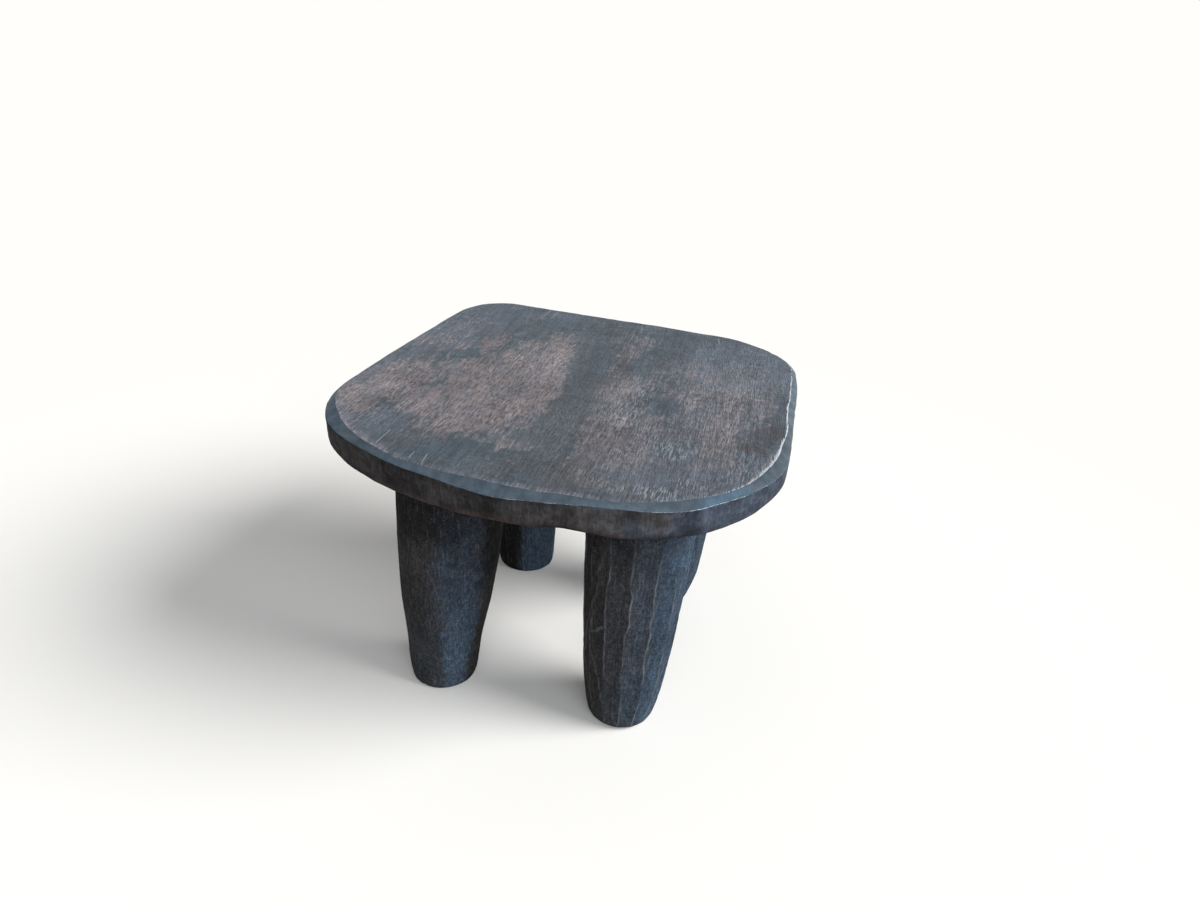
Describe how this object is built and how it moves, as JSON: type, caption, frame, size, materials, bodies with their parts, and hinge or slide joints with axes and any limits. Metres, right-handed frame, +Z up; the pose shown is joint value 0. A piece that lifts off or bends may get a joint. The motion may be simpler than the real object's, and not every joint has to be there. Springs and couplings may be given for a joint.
{
  "type": "carved wooden stool",
  "caption": "Low carved wooden stool with a dished, bow-sided seat slab on stout tapered legs, joined by hidden wedged tenons.",
  "frame": {"origin": "on the floor, under the middle of the seat's bounding box", "axes": "+Z up, -Y towards the bowed front edge, +X to the right seen from the front"},
  "size_m": [0.38, 0.392, 0.267],
  "materials": {
    "seat_wood": "blackened and rubbed back to brown on top, satin",
    "leg_wood": "blackened, adzed facets, satin",
    "wedge_wood": "bare split hardwood, matt"
  },
  "bodies": {
    "root": {"seat": "seat_wood", "leg_front_left": "leg_wood", "leg_front_right": "leg_wood", "leg_back_right": "leg_wood", "leg_back_left": "leg_wood", "wedge_front_left": "wedge_wood", "wedge_front_right": "wedge_wood", "wedge_back_right": "wedge_wood", "wedge_back_left": "wedge_wood"}
  },
  "joints": []
}
